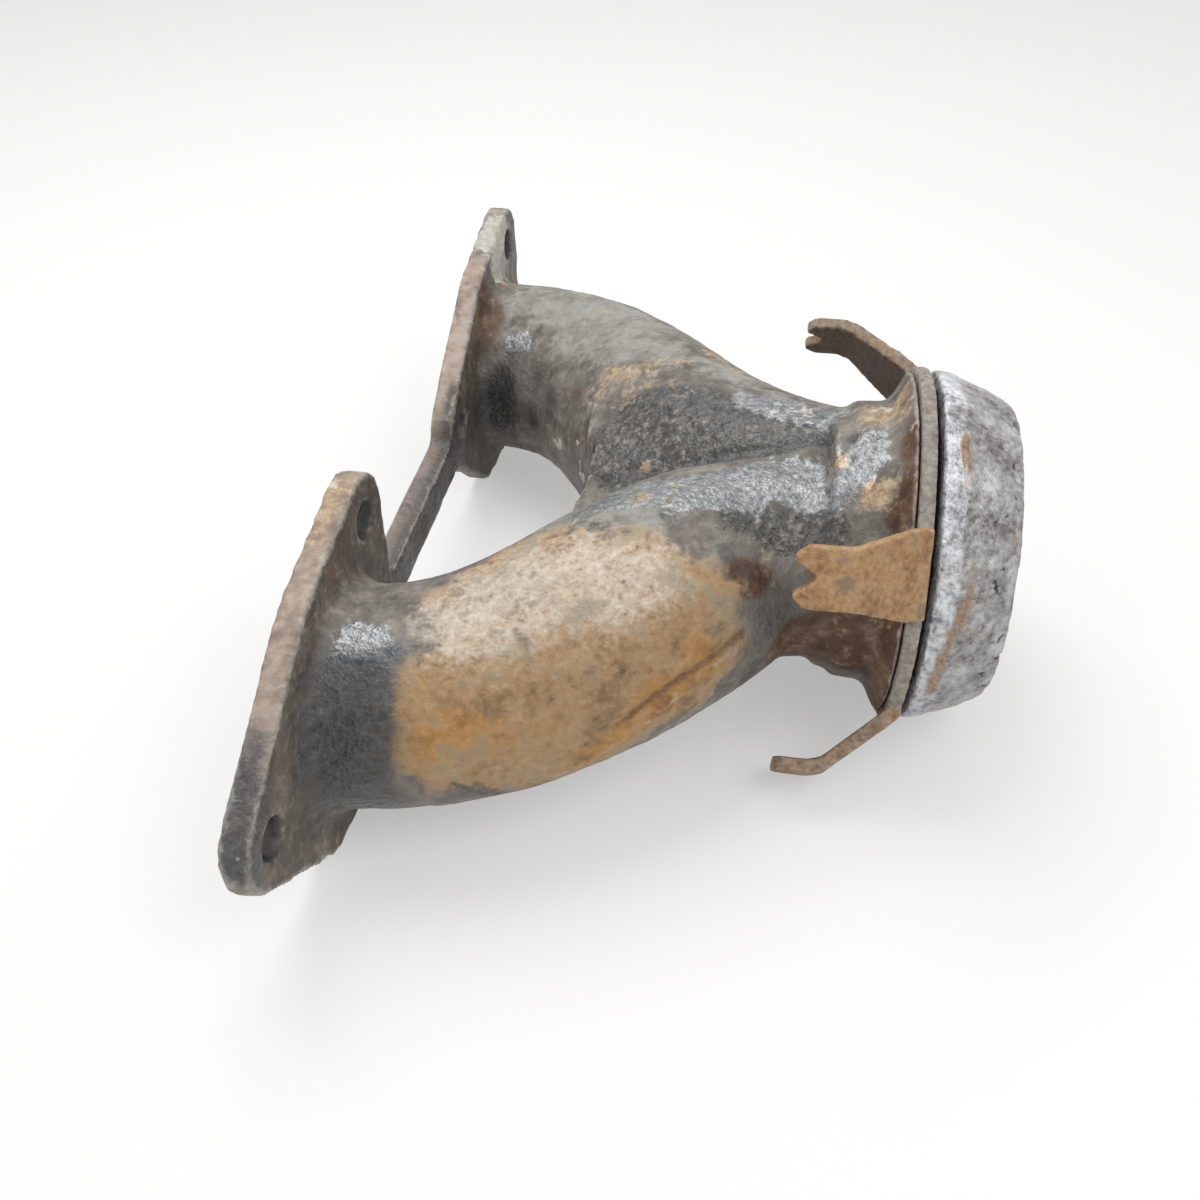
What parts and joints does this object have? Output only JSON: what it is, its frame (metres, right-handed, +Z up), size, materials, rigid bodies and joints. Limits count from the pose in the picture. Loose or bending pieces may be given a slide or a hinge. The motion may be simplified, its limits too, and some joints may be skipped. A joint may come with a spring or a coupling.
{
  "type": "exhaust y-pipe",
  "caption": "Rusted cast iron exhaust pipe that joins two flanged ports into one outlet, with a spring-hook ring and a donut gasket on the outlet.",
  "frame": {"origin": "centre of the near port, in the plane of the flanges' mounting faces", "axes": "+X runs from the mounting faces to the outlet, +Y from the near port to the far port, +Z up as the pipe rests on a level floor"},
  "size_m": [0.1535, 0.2425, 0.087],
  "materials": {
    "casting": "rusted, scaled and sooty",
    "hook_ring": "evenly rusted",
    "donut_gasket": "pitted and stained"
  },
  "bodies": {
    "root": {"casting": "casting", "hook_ring": "hook_ring", "donut_gasket": "donut_gasket"}
  },
  "joints": []
}
